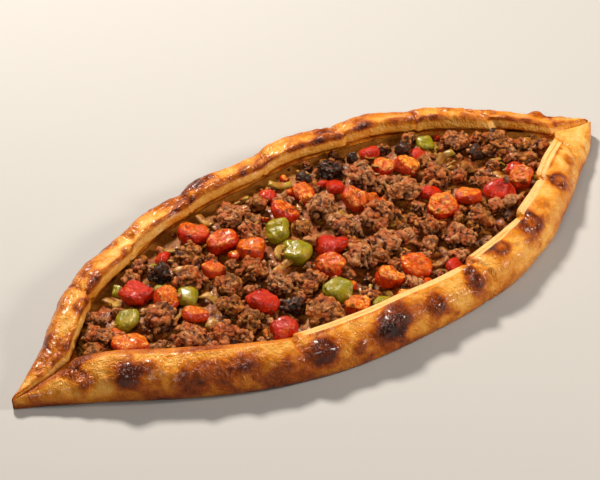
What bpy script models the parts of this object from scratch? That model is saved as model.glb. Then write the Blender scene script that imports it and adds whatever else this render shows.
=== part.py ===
"""A boat-shaped stuffed flatbread: a folded dough shell, a bed of filling and the toppings that lie on it.

Units are metres. +X runs along the bread towards its blunt tip, +Y across it, +Z up.
The origin is the centre of the bread's footprint, on the surface that it rests on.
"""

import math
import random

import bmesh
import bpy
from mathutils import Vector, noise

# Driving dimensions
LENGTH = 0.360
HALF_WIDTH = {-1: 0.0780, 1: 0.0785}  # of the near and of the far side
BELLY_SHIFT = {-1: 0.004, 1: 0.001}  # how far along X each side is at its widest
SHARP_TIP, BLUNT_TIP = -1, 1
PLAN_POWER = 2.50  # how full the plan is at mid length
PLAN_TAPER = {SHARP_TIP: 1.31, BLUNT_TIP: 1.21}  # how hollow the plan is towards each tip
BOWS = (  # unevenness of the outline: side, centre, reach along X, how far out
    (-1, -0.110, 0.045, -0.0025), (-1, 0.055, 0.040, 0.0015), (-1, 0.140, 0.025, -0.0020),
    (1, -0.122, 0.020, 0.0035), (1, 0.030, 0.022, 0.0020), (1, 0.088, 0.032, 0.0035),
)
TIP_ROUND = {SHARP_TIP: 0.004, BLUNT_TIP: 0.012}  # length over which each tip is rounded off
TIP_OVERRUN = {SHARP_TIP: 0.003, BLUNT_TIP: 0.008}  # the uncut point that the rounding trims off
TIP_HEIGHT = {SHARP_TIP: 0.35, BLUNT_TIP: 0.50}  # share of the rim's height left at each tip
TIP_FALL = 0.055  # length over which the rim comes down to its tip

FLOOR = 0.005  # thickness of the dough under the filling
SEAM_HEIGHT = 0.0092  # floor of the groove between the flaps at the tips, at full rim height
SEAM_GAP = 0.0008  # half of that groove's width
SEAM_STEP = 0.0002  # how much narrower its floor is
GAPE_LENGTH = 0.008  # how far the lips are from meeting where the groove has become the open middle
CLEARANCE = 0.0003  # between pieces that touch

# The folded rim from its foot, over its top and down inside: (inward from the outline, height).
FLAP = {
    -1: (  # near side: the flap stands up, so its cut edge faces the sky
        (0.0030, 0.0000), (0.0008, 0.0025), (0.0000, 0.0065), (0.0008, 0.0110), (0.0034, 0.0152),
        (0.0070, 0.0176), (0.0105, 0.0188), (0.0128, 0.0194), (0.0140, 0.0190), (0.0182, 0.0176),
        (0.0188, 0.0150), (0.0180, 0.0115), (0.0156, 0.0098), (0.0156, FLOOR),
    ),
    1: (  # far side: the flap lies further over, so its cut edge faces inwards
        (0.0030, 0.0000), (0.0008, 0.0025), (0.0000, 0.0065), (0.0006, 0.0105), (0.0026, 0.0145),
        (0.0056, 0.0168), (0.0090, 0.0168), (0.0126, 0.0180), (0.0146, 0.0185), (0.0163, 0.0172),
        (0.0177, 0.0140), (0.0177, 0.0108), (0.0156, 0.0096), (0.0156, FLOOR),
    ),
}
INNER_WALL = 0.0156  # inward distance of the wall that the filling meets
LIP = 0.0190  # inward distance that the toppings stay clear of

# Where the dough was pinched between two flaps, along each side
PLEATS = {
    -1: (-0.150, -0.058, 0.045, 0.088, 0.118, 0.150),
    1: (-0.155, -0.118, -0.080, -0.038, 0.012, 0.060, 0.098, 0.130, 0.160),
}
LIP_SWELL = 0.0012  # how far a flap's lip reaches in between its pleats
TOP_SWELL = 0.0016  # how far its top rises there
SIDE_SWELL = 0.0009  # how far its outer wall bulges there

STATIONS = 58
TIP_CUT = 0.0001  # how far the first and last cross-section stay from the very tips

# Filling
BED_GAPE = 0.45  # the bed reaches as far into the tips as the bread is this open
BED_TOP = 0.0086
BED_CROWN = 0.0008
BED_UNEVENNESS = 0.0004
BED_ROWS = 8

# Toppings as seen from above, one cell to a character. Capitals are the pieces made here:
# M and B meat, T red tomato, O orange tomato, G green pepper, D charred pepper.
CELL_X, CELL_Y = 0.0080, 0.0075
PLAN = (
    ".....................D..........",
    "..........T..M..................",
    "......D..M.T.M..T.....B.........",
    "....T.........G..........O...M..",
    ".......B....O.....B.O...........",
    "M.G..O............M....B..M....B",
    "....B....M.M..G......M..........",
    ".O..............T...............",
    "........M...M..O........T.O.....",
    "....B.....T..M...B.B..M.....T.O.",
    "......M.M..D....................",
    "..............G........B.M......",
    ".........T..B....O.O............",
    "..............O.................",
)
PLAN_LEFT, PLAN_BACK = -0.128, 0.045  # centre of the first character of the first row
TOPPINGS = {  # kind: name, width, height above the bed, squareness, colour, roughness
    "M": ("meat", 0.0150, 0.0095, 0.25, (0.23, 0.10, 0.06), 0.60),
    "B": ("meat", 0.0176, 0.0105, 0.25, (0.23, 0.10, 0.06), 0.60),
    "T": ("red_tomato", 0.0148, 0.0090, 0.50, (0.60, 0.05, 0.02), 0.25),
    "O": ("orange_tomato", 0.0145, 0.0090, 0.55, (0.75, 0.17, 0.03), 0.30),
    "G": ("green_pepper", 0.0138, 0.0080, 0.40, (0.24, 0.28, 0.03), 0.25),
    "D": ("charred_bit", 0.0125, 0.0070, 0.30, (0.04, 0.03, 0.02), 0.50),
}
TOPPING_SPREAD = 0.10  # how much pieces of one kind differ in size
LUMPINESS = 0.12
SETTLE_ROUNDS = 400


def smoothstep(low, high, value):
    share = min(max((value - low) / (high - low), 0.0), 1.0)
    return share * share * (3.0 - 2.0 * share)


def mix(a, b, share):
    return a + (b - a) * share


def half_width(side, x):
    """Distance of one side's outline from the length axis: a full lens with one sharp and one blunt tip."""
    end = BLUNT_TIP if x > 0 else SHARP_TIP
    moved = x - BELLY_SHIFT[side] * (1.0 - (2.0 * x / LENGTH) ** 2)
    along = min(abs(moved) / (LENGTH / 2 + TIP_OVERRUN[end]), 1.0)
    lens = HALF_WIDTH[side] * (1.0 - along**PLAN_POWER) ** PLAN_TAPER[end]
    for bowed, centre, reach, out in BOWS:
        if bowed == side:
            lens += out * math.exp(-(((x - centre) / reach) ** 2)) * smoothstep(0.0, 0.03, lens)
    short = 1.0 - min(max(LENGTH / 2 - abs(x), 0.0) / TIP_ROUND[end], 1.0)
    return lens * math.sqrt(1.0 - short * short)


def outline_cosine(side, x):
    """Cosine of the angle between the outline and the bread's length."""
    step = 0.001
    slope = (half_width(side, x + step) - half_width(side, x - step)) / (2 * step)
    return max(1.0 / math.hypot(1.0, slope), 0.5)


def puff(side, x):
    """0 at a pleat and 1 in the middle of the flap between two pleats."""
    pleats = (-LENGTH / 2, *PLEATS[side], LENGTH / 2)
    for start, end in zip(pleats, pleats[1:]):
        if start <= x <= end:
            return math.sin(math.pi * (x - start) / (end - start)) ** 0.6
    return 0.0


def tip_fall(x):
    """0 along the body and 1 at a tip."""
    return smoothstep(LENGTH / 2 - TIP_FALL, LENGTH / 2, abs(x))


def rim_share(x):
    """Share of the rim's full height that is left at x."""
    return mix(1.0, TIP_HEIGHT[BLUNT_TIP if x > 0 else SHARP_TIP], tip_fall(x))


def gape(side, x):
    """0 where the two flaps meet in a seam and 1 where the bread is fully open."""
    return smoothstep(0.0, GAPE_LENGTH, half_width(side, x) * outline_cosine(side, x) - LIP)


def inner_wall(side, x):
    """Distance of one side's inner wall from the length axis."""
    wall = half_width(side, x) - INNER_WALL / outline_cosine(side, x)
    return mix(SEAM_GAP, wall, gape(side, x))


def floor_height(side, x, wall=FLOOR):
    """Height of the floor, or of the inner wall's top edge, which both rise into the seam's groove."""
    return mix(SEAM_HEIGHT * rim_share(x), wall, gape(side, x))


def flap_section(side, x):
    """The (y, z) points of one side's folded rim at x, from the foot to the floor inside."""
    swell = (puff(side, x) - 0.6) * (1.0 - tip_fall(x))
    outline = half_width(side, x) + SIDE_SWELL * swell
    cosine = outline_cosine(side, x)
    squeeze = min(1.0, (outline * cosine - SEAM_GAP) / LIP)
    points = []
    for inward, rise in FLAP[side][:-2]:
        over = smoothstep(0.008, 0.018, inward) * smoothstep(0.008, 0.014, rise)
        inward = inward * squeeze + LIP_SWELL * swell * over
        rise = rise * rim_share(x) + TOP_SWELL * swell * smoothstep(0.006, 0.016, rise)
        points.append((outline - inward / cosine, rise))
    wall = inner_wall(side, x)
    points.append((wall, floor_height(side, x, FLAP[side][-2][1])))
    points.append((wall - SEAM_STEP, floor_height(side, x)))
    return [(side * y, z) for y, z in points]


def station(index):
    """x of one of the crust's cross-sections, which lie closer together at the tips."""
    return (LENGTH / 2 - TIP_CUT) * math.sin(math.pi * (index / (STATIONS - 1) - 0.5))


def new_object(name, shape, colour, roughness, sharp_deg=40):
    """Makes the object of a finished bmesh, with its own material."""
    bmesh.ops.recalc_face_normals(shape, faces=shape.faces)
    if shape.calc_volume(signed=True) < 0:
        bmesh.ops.reverse_faces(shape, faces=shape.faces)
    mesh = bpy.data.meshes.new(name)
    shape.to_mesh(mesh)
    shape.free()
    mesh.shade_smooth()
    mesh.set_sharp_from_angle(angle=math.radians(sharp_deg))
    material = bpy.data.materials.new(name)
    material.use_nodes = True
    surface = material.node_tree.nodes["Principled BSDF"]
    surface.inputs["Base Color"].default_value = (*colour, 1.0)
    surface.inputs["Roughness"].default_value = roughness
    mesh.materials.append(material)
    made = bpy.data.objects.new(name, mesh)
    bpy.context.scene.collection.objects.link(made)
    return made


def loft(shape, loops):
    """Skins closed loops of vertices and caps both ends."""
    for first, second in zip(loops, loops[1:]):
        for step in range(len(first)):
            ahead = (step + 1) % len(first)
            shape.faces.new((first[step], first[ahead], second[ahead], second[step]))
    caps = [shape.faces.new(loops[0]), shape.faces.new(loops[-1])]
    bmesh.ops.triangulate(shape, faces=caps)


def make_crust():
    """The dough: its flat base and the rim that is folded in all round, in one piece."""
    shape = bmesh.new()
    loops = []
    for x in map(station, range(STATIONS)):
        section = flap_section(-1, x) + flap_section(1, x)[::-1]
        loops.append([shape.verts.new((x, y, z)) for y, z in section])
    loft(shape, loops)
    return new_object("crust", shape, (0.72, 0.40, 0.13), 0.45)


def bed_height(x, y):
    """Height of the bed's uneven top."""
    crown = 1.0 - (y / HALF_WIDTH[1]) ** 2
    unevenness = BED_UNEVENNESS * (noise.noise(Vector((x, y, 0.0)) * 90.0) - 1.0)
    return BED_TOP + BED_CROWN * crown + unevenness


def make_bed():
    """The juicy bed of filling, from the dough's floor up to its uneven top."""
    shape = bmesh.new()
    loops = []
    for x in map(station, range(STATIONS)):
        if min(gape(side, x) for side in (-1, 1)) < BED_GAPE:
            continue
        near, far = (side * (inner_wall(side, x) - CLEARANCE / outline_cosine(side, x)) for side in (-1, 1))
        near_foot, far_foot = (floor_height(side, x) + CLEARANCE for side in (-1, 1))
        across = [mix(near, far, row / BED_ROWS) for row in range(BED_ROWS + 1)]
        section = [(x, y, bed_height(x, y)) for y in across] + [(x, far, far_foot), (x, near, near_foot)]
        loops.append([shape.verts.new(point) for point in section])
    loft(shape, loops)
    return new_object("filling_bed", shape, (0.42, 0.24, 0.10), 0.35)


def planned_toppings(dice):
    """One entry for each capital in the plan: kind, place, half width."""
    found = []
    for row, line in enumerate(PLAN):
        for column, kind in enumerate(line):
            if kind in TOPPINGS:
                x = PLAN_LEFT + column * CELL_X + dice.uniform(-0.25, 0.25) * CELL_X
                y = PLAN_BACK - row * CELL_Y + dice.uniform(-0.25, 0.25) * CELL_Y
                size = 1.0 + dice.uniform(-TOPPING_SPREAD, TOPPING_SPREAD)
                found.append({"kind": kind, "x": x, "y": y, "r": TOPPINGS[kind][1] / 2 * size})
    return found


def rim_room(side, topping):
    """How far from the length axis a topping may lie on one side before it meets the rim."""
    x = topping["x"]
    return half_width(side, x) - (LIP + LIP_SWELL + topping["r"]) / outline_cosine(side, x)


def settle(toppings):
    """Moves the toppings apart until none touches another or the rim."""
    for _ in range(SETTLE_ROUNDS):
        for i, a in enumerate(toppings):
            for b in toppings[:i]:
                dx, dy = a["x"] - b["x"], a["y"] - b["y"]
                apart = math.hypot(dx, dy)
                push = (a["r"] + b["r"] + 2 * CLEARANCE - apart) / 2
                if push > 0:
                    a["x"] += dx / apart * push
                    a["y"] += dy / apart * push
                    b["x"] -= dx / apart * push
                    b["y"] -= dy / apart * push
            near, far = (side * rim_room(side, a) for side in (-1, 1))
            if near > far:
                a["x"] -= math.copysign((near - far) / 2, a["x"])
            a["y"] = min(max(a["y"], min(near, 0.0)), max(far, 0.0))
    return toppings


def make_topping(name, topping, dice):
    """A rounded lump with a flat underside, seated just above the bed."""
    _, _, height, squareness, colour, roughness = TOPPINGS[topping["kind"]]
    shape = bmesh.new()
    bmesh.ops.create_icosphere(shape, subdivisions=2, radius=1.0)
    seed = Vector([dice.uniform(0.0, 50.0) for _ in range(3)])
    turn = dice.uniform(0.0, math.tau)
    stretch = dice.uniform(0.84, 1.0)
    seat = BED_TOP + BED_CROWN + CLEARANCE
    height *= dice.uniform(0.85, 1.1)
    for vert in shape.verts:
        way = vert.co.normalized()
        square = 1.0 / max(abs(way.x), abs(way.y), abs(way.z))
        reach = mix(1.0, square, squareness * 0.5) * (1.0 + LUMPINESS * noise.noise(way * 1.4 + seed))
        local = way * reach
        flat = Vector((local.x, local.y * stretch, 0.0))
        if flat.length > 1.0:
            flat.normalize()
        x = flat.x * math.cos(turn) - flat.y * math.sin(turn)
        y = flat.x * math.sin(turn) + flat.y * math.cos(turn)
        z = max(0.35 + 0.65 * local.z, 0.0)
        vert.co = Vector((x * topping["r"], y * topping["r"], z * height))
    made = new_object(name, shape, colour, roughness)
    made.location = (topping["x"], topping["y"], seat)
    return made


def make_toppings():
    """All pieces of the plan, named by what they are and numbered."""
    dice = random.Random(11)
    count = {}
    made = []
    for topping in settle(planned_toppings(dice)):
        kind = TOPPINGS[topping["kind"]][0]
        count[kind] = count.get(kind, 0) + 1
        made.append(make_topping(f"{kind}_{count[kind]:02d}", topping, dice))
    return made


def main():
    for old in list(bpy.data.objects):
        bpy.data.objects.remove(old)
    crust = make_crust()
    pieces = [crust, make_bed(), *make_toppings()]
    corners = [Vector(corner) for corner in crust.bound_box]
    middle = (corners[0] + corners[6]) / 2
    for piece in pieces:
        piece.location -= Vector((middle.x, middle.y, 0.0))


main()
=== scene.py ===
"""Looks of a boat-shaped stuffed flatbread: crust, filling, meat, tomato, pepper, crumbs and herbs.

Units are metres, in the model's own frame: +X along the bread to its blunt tip, +Y across it, +Z up.
"""

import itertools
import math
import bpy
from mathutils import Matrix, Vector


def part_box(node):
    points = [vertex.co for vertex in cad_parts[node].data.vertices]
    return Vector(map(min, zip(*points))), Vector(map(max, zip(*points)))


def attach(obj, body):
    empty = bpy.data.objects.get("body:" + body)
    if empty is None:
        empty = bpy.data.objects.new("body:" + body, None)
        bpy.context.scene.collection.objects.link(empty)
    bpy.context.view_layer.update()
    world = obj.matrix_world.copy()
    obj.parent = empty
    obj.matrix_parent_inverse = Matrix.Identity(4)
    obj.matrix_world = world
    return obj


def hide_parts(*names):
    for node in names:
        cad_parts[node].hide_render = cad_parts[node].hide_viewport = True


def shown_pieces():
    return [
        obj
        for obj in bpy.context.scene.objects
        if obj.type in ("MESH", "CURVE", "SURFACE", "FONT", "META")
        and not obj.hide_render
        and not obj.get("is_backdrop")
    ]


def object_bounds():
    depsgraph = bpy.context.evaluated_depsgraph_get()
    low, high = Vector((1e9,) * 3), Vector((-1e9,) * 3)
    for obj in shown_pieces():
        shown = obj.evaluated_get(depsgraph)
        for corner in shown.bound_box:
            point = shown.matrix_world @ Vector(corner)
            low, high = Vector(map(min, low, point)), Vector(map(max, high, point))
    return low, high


bl_info = {
    "name": "Turkish Pide",
    "version": (1, 0, 0),
    "blender": (4, 5, 0),
    "location": "3D View > Sidebar > Pide",
    "description": "Bakes the crust, fills it and sets the stage for a boat-shaped stuffed flatbread",
    "category": "Object",
}

import bmesh
import bpy
import numpy as np
from bpy.props import FloatProperty, FloatVectorProperty, IntProperty, PointerProperty
from mathutils import Vector

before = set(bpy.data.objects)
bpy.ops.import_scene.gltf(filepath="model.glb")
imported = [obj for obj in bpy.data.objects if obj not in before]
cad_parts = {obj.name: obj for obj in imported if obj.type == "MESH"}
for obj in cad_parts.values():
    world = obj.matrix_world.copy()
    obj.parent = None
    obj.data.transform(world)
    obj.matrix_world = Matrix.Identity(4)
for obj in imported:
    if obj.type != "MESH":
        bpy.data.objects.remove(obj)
MODEL_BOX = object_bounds()
BODY = "root"

# ---------------------------------------------------------------------------------------------
# The bread's outline, the same as the solid model's

NEAR, FAR = -1, 1
LENGTH = 0.360
HALF_WIDTH = {NEAR: 0.0780, FAR: 0.0785}
BELLY_SHIFT = {NEAR: 0.004, FAR: 0.001}
PLAN_POWER = 2.50
SHARP_TAPER, BLUNT_TAPER = 1.31, 1.21
SHARP_OVERRUN, BLUNT_OVERRUN = 0.003, 0.008
SHARP_ROUND, BLUNT_ROUND = 0.004, 0.012
BOWS = {
    NEAR: ((-0.110, 0.045, -0.0025), (0.055, 0.040, 0.0015), (0.140, 0.025, -0.0020)),
    FAR: ((-0.122, 0.020, 0.0035), (0.030, 0.022, 0.0020), (0.088, 0.032, 0.0035)),
}
SHARP_HEIGHT, BLUNT_HEIGHT = 0.35, 0.50
TIP_FALL = 0.055
SWELL_OUT, SWELL_UP = 0.0009, 0.0016  # how far the middle of a flap bulges
FLOOR = 0.005
SEAM_HEIGHT = 0.0092
SEAM_GAP = 0.0008
GAPE_LENGTH = 0.008
INNER_WALL = 0.0156
LIP = 0.0190
PLEATS = {
    NEAR: (-0.180, -0.150, -0.058, 0.045, 0.088, 0.118, 0.150, 0.180),
    FAR: (-0.180, -0.155, -0.118, -0.080, -0.038, 0.012, 0.060, 0.098, 0.130, 0.160, 0.180),
}
# The rim's profile in mm, (inward, height): foot, outer wall, crown, cut edge, underside of the lip
PROFILE = {
    NEAR: (
        (3.0, 0.0), (0.8, 2.5), (0.0, 6.5), (0.8, 11.0), (3.4, 15.2), (7.0, 17.6),
        (10.4, 18.8), (12.4, 19.4), (13.4, 19.4), (13.9, 19.0), (16.2, 18.5), (18.2, 17.7),
        (18.7, 16.8), (18.8, 15.0), (18.0, 11.5), (15.6, 9.8),
    ),
    FAR: (
        (3.0, 0.0), (0.8, 2.5), (0.0, 6.5), (0.6, 10.5), (2.6, 14.5), (5.6, 16.8),
        (9.0, 16.9), (12.4, 17.9), (14.4, 18.5), (15.5, 18.2), (16.5, 17.0), (17.3, 14.9),
        (17.7, 12.7), (17.3, 11.8), (16.2, 10.9), (15.6, 9.6),
    ),
}
CUT_EDGE = {NEAR: (8.4, 11.6), FAR: (10.2, 13.2)}  # which stretch of the profile shows bare cut dough
RIDGE = {NEAR: 7.5, FAR: 8.6}  # where along the profile the crown's sharpest ridge runs

# How the crease at each pleat leans along the bread from rim to foot, in mm a step of the profile
PLEAT_LEANS = (0.5, -0.35, 0.8, 0.2, 0.6, -0.2, 0.4, -0.5, 0.3)

# Scorched blisters: place along X in mm, place along the profile, radius in mm, how dark
BLISTERS = {
    NEAR: (
        (-152, 6.2, 2.6, 0.55), (-149, 4.4, 3.8, 0.60), (-133, 4.1, 6.6, 1.00), (-122, 5.2, 3.6, 0.60),
        (-116, 2.8, 4.4, 0.55), (-105, 3.7, 5.4, 0.90), (-95, 2.6, 4.6, 0.55), (-86, 4.2, 5.6, 0.80),
        (-69, 3.4, 4.8, 0.55), (-51, 4.1, 6.8, 1.00), (-32, 3.4, 4.0, 0.65), (-17, 4.0, 6.4, 0.90),
        (-9, 4.7, 6.8, 1.00), (13, 3.8, 5.4, 0.90), (39, 4.3, 5.0, 0.95), (40, 6.2, 3.2, 0.75),
        (62, 6.2, 4.9, 0.90), (88, 5.4, 7.2, 1.00), (103, 5.6, 3.4, 0.50), (123, 4.9, 5.2, 1.00),
        (141, 4.6, 3.2, 0.60),
    ),
    FAR: (
        (-160, 6.6, 2.4, 0.80), (-153, 7.6, 3.2, 0.90), (-144, 7.8, 4.0, 0.95), (-126, 8.6, 4.2, 1.00),
        (-109, 6.4, 3.8, 0.75), (-106, 8.6, 3.0, 0.80), (-84, 8.5, 4.2, 0.90), (-75, 6.0, 3.6, 0.80),
        (-41, 8.3, 5.2, 1.00), (-32, 6.9, 3.8, 0.60), (-7, 7.8, 4.2, 0.50), (3, 7.8, 5.2, 0.90),
        (12, 7.4, 5.8, 1.00), (32, 7.0, 3.8, 0.70), (50, 7.9, 5.2, 0.95), (72, 6.6, 3.2, 0.50),
        (97, 8.2, 3.4, 0.60), (115, 6.0, 3.2, 0.50), (133, 6.1, 4.0, 0.70), (137, 8.4, 3.4, 0.65),
        (157, 4.6, 4.8, 0.85),
    ),
}


def smoothstep(low, high, value):
    share = np.clip((value - low) / (high - low), 0.0, 1.0)
    return share * share * (3.0 - 2.0 * share)


def mix(a, b, share):
    return a + (b - a) * share


def half_width(side, x):
    """Distance of one side's outline from the length axis."""
    x = np.asarray(x, float)
    moved = x - BELLY_SHIFT[side] * (1.0 - (2.0 * x / LENGTH) ** 2)
    blunt = x > 0
    along = np.minimum(np.abs(moved) / (LENGTH / 2 + np.where(blunt, BLUNT_OVERRUN, SHARP_OVERRUN)), 1.0)
    lens = HALF_WIDTH[side] * (1.0 - along**PLAN_POWER) ** np.where(blunt, BLUNT_TAPER, SHARP_TAPER)
    for centre, reach, out in BOWS[side]:
        lens = lens + out * np.exp(-(((x - centre) / reach) ** 2)) * smoothstep(0.0, 0.03, lens)
    left = np.maximum(LENGTH / 2 - np.abs(x), 0.0) / np.where(blunt, BLUNT_ROUND, SHARP_ROUND)
    return lens * np.sqrt(1.0 - (1.0 - np.minimum(left, 1.0)) ** 2)


def outline_cosine(side, x):
    """Cosine of the angle between the outline and the bread's length."""
    slope = (half_width(side, x + 0.001) - half_width(side, x - 0.001)) / 0.002
    return np.maximum(1.0 / np.hypot(1.0, slope), 0.5)


def tip_fall(x):
    return smoothstep(LENGTH / 2 - TIP_FALL, LENGTH / 2, np.abs(x))


def rim_share(x):
    """Share of the rim's full height that is left at x."""
    return mix(1.0, np.where(np.asarray(x) > 0, BLUNT_HEIGHT, SHARP_HEIGHT), tip_fall(x))


def gape(side, x):
    """0 where the two flaps meet in a seam and 1 where the bread is fully open."""
    return smoothstep(0.0, GAPE_LENGTH, half_width(side, x) * outline_cosine(side, x) - LIP)


def inner_wall(side, x):
    wall = half_width(side, x) - INNER_WALL / outline_cosine(side, x)
    return mix(SEAM_GAP, wall, gape(side, x))


def floor_height(side, x):
    return mix(SEAM_HEIGHT * rim_share(x), FLOOR, gape(side, x))


def flap_share(side, x):
    """How far along its flap x lies, from 0 to 1."""
    pleats = np.array(PLEATS[side])
    flap = np.clip(np.searchsorted(pleats, x, side="right") - 1, 0, len(pleats) - 2)
    return np.clip((x - pleats[flap]) / (pleats[flap + 1] - pleats[flap]), 0.0, 1.0)


def swell(side, x):
    """How the dough bulges at x: most in the middle of a flap, least at a pleat, nothing at a tip."""
    puff = np.sin(math.pi * flap_share(side, x)) ** 0.6
    return (puff - 0.6) * (1.0 - tip_fall(x))


def outline_middle():
    """How far the footprint's middle lies from the length axis."""
    x = np.linspace(-LENGTH / 2, LENGTH / 2, 721)
    near, far = (np.max(half_width(side, x) + SWELL_OUT * swell(side, x)) for side in (NEAR, FAR))
    return (far - near) / 2


MIDDLE = outline_middle()


def along_profile(points, place):
    """Smooth curve through points (count, 2) at fractional indexes."""
    last = len(points) - 1
    start = np.clip(np.floor(place).astype(int), 0, last - 1)
    part = (place - start)[:, None]
    a, b, c, d = (points[np.clip(start + k, 0, last)] for k in (-1, 0, 1, 2))
    squared, cubed = 2 * a - 5 * b + 4 * c - d, 3 * b - a - 3 * c + d
    return 0.5 * (2 * b + (c - a) * part + squared * part**2 + cubed * part**3)


CELLS = 32  # the random values repeat after so many cells


def unevenness(points, size, seed):
    """Smooth random values from -1 to 1, with bumps about as wide as size, at each of the points."""
    table = np.random.default_rng(seed).uniform(-1.0, 1.0, (CELLS, CELLS, CELLS))
    place = np.asarray(points) / size
    cell = np.floor(place).astype(int)
    part = place - cell
    part = part * part * (3.0 - 2.0 * part)
    total = 0.0
    for corner in itertools.product((0, 1), repeat=3):
        weight = np.prod(np.where(np.array(corner) == 1, part, 1.0 - part), axis=-1)
        at = (cell + corner) % CELLS
        total = total + weight * table[at[..., 0], at[..., 1], at[..., 2]]
    return total


def blurred(values, steps):
    """A row of values smoothed by a bell of that many steps."""
    reach = np.arange(-3 * steps, 3 * steps + 1)
    bell = np.exp(-0.5 * (reach / steps) ** 2)
    padded = np.pad(values, 3 * steps, mode="edge")
    return np.convolve(padded, bell / bell.sum(), mode="valid")


# ---------------------------------------------------------------------------------------------
# Materials


class Wire:
    """A socket in a material, on which Python's arithmetic adds Math nodes."""

    def __init__(self, finish, socket):
        self.finish = finish
        self.socket = socket

    def _maths(self, operation, *values, clamp=False):
        settings = {"operation": operation, "use_clamp": clamp}
        made = self.finish.node("ShaderNodeMath", settings, dict(enumerate(values)))
        return Wire(self.finish, made.outputs[0])

    def __add__(self, other):
        return self._maths("ADD", self, other)

    def __radd__(self, other):
        return self._maths("ADD", other, self)

    def __sub__(self, other):
        return self._maths("SUBTRACT", self, other)

    def __rsub__(self, other):
        return self._maths("SUBTRACT", other, self)

    def __mul__(self, other):
        return self._maths("MULTIPLY", self, other)

    def clamped(self):
        return self._maths("ADD", self, 0.0, clamp=True)

    def magnitude(self):
        return self._maths("ABSOLUTE", self)

    def over(self, low, high):
        """0 below low and 1 above high, or the other way round if low is the larger."""
        values = {"Value": self, "From Min": low, "From Max": high}
        made = self.finish.node("ShaderNodeMapRange", {"interpolation_type": "SMOOTHSTEP"}, values)
        return Wire(self.finish, made.outputs[0])


COLOUR_A, COLOUR_B, MIXED_COLOUR = 6, 7, 2  # sockets of a Mix node that mixes colours


class Finish:
    """A material that is being put together."""

    def __init__(self, name):
        self.material = bpy.data.materials.new(name)
        self.material.use_nodes = True
        self.tree = self.material.node_tree
        self.surface = self.tree.nodes["Principled BSDF"]
        self.place = self.node("ShaderNodeTexCoord", {}, {}).outputs["Object"]

    def node(self, kind, settings, values):
        """A node of that type, with its settings made first and its sockets given values or links."""
        made = self.tree.nodes.new(kind)
        for key, value in settings.items():
            setattr(made, key, value)
        self.feed(made, values)
        return made

    def feed(self, node, values):
        for key, value in values.items():
            socket = node.inputs[key]
            if isinstance(value, Wire):
                self.tree.links.new(value.socket, socket)
            elif isinstance(value, bpy.types.NodeSocket):
                self.tree.links.new(value, socket)
            else:
                socket.default_value = value

    def noise(self, size, detail=3.0, roughness=0.55, stretch=(1.0, 1.0, 1.0), distortion=0.0):
        """Cloudy values around 0.5, with clouds of that size in metres."""
        mapping = self.node("ShaderNodeMapping", {}, {"Vector": self.place, "Scale": stretch})
        clouds = self.node(
            "ShaderNodeTexNoise", {},
            {"Vector": mapping.outputs[0], "Scale": 1.0 / size, "Detail": detail, "Roughness": roughness,
             "Distortion": distortion},
        )
        return Wire(self, clouds.outputs[0])

    def painted(self, name):
        """The value that a piece's own attribute carries."""
        return Wire(self, self.node("ShaderNodeAttribute", {"attribute_name": name}, {}).outputs["Fac"])

    def mixed(self, share, first, second):
        """Colour between two colours, that share of the way to the second."""
        values = {"Factor": share, COLOUR_A: rgba(first), COLOUR_B: rgba(second)}
        return self.node("ShaderNodeMix", {"data_type": "RGBA"}, values).outputs[MIXED_COLOUR]

    def ramp(self, value, stops):
        """Colour read from a row of (place, colour) stops."""
        made = self.node("ShaderNodeValToRGB", {}, {"Fac": value})
        band = made.color_ramp
        band.elements.remove(band.elements[1])
        band.elements[0].position, band.elements[0].color = stops[0][0], rgba(stops[0][1])
        for place, colour in stops[1:]:
            band.elements.new(place).color = rgba(colour)
        return made.outputs[0]

    def bump(self, height, distance, strength=1.0, under=None):
        values = {"Height": height, "Distance": distance, "Strength": strength}
        if under is not None:
            values["Normal"] = under
        return self.node("ShaderNodeBump", {}, values).outputs[0]

    def done(self, **sockets):
        self.feed(self.surface, {name.replace("_", " "): value for name, value in sockets.items()})
        return self.material


def rgba(colour):
    """A colour with its alpha; a link passes through."""
    if isinstance(colour, bpy.types.NodeSocket):
        return colour
    return (*colour, 1.0)


def tint(first, second, share):
    """A fixed colour, that share of the way from the first to the second."""
    return mix(np.array(first), np.array(second), share)


BLACK = (0.0, 0.0, 0.0)


# ---------------------------------------------------------------------------------------------
# Modelling

WELD = 0.000005  # corners nearer than this become one
SHARPEST = 1.5  # limit of the crease paint, painted shade in hollows and painted light on crests, either way


def start():
    """Object mode with nothing selected."""
    if bpy.context.object is not None and bpy.context.object.mode != "OBJECT":
        bpy.ops.object.mode_set(mode="OBJECT")
    bpy.ops.object.select_all(action="DESELECT")


def apply(piece, name, kind, **settings):
    """Adds a modifier to a piece and applies it."""
    modifier = piece.modifiers.new(name, kind)
    for key, value in settings.items():
        setattr(modifier, key, value)
    bpy.context.view_layer.objects.active = piece
    bpy.ops.object.modifier_apply(modifier=name)


def corners_of(mesh):
    flat = np.empty(len(mesh.vertices) * 3)
    mesh.vertices.foreach_get("co", flat)
    return flat.reshape(-1, 3)


def place_corners(mesh, corners):
    mesh.vertices.foreach_set("co", np.asarray(corners, float).ravel())
    mesh.update()


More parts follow.
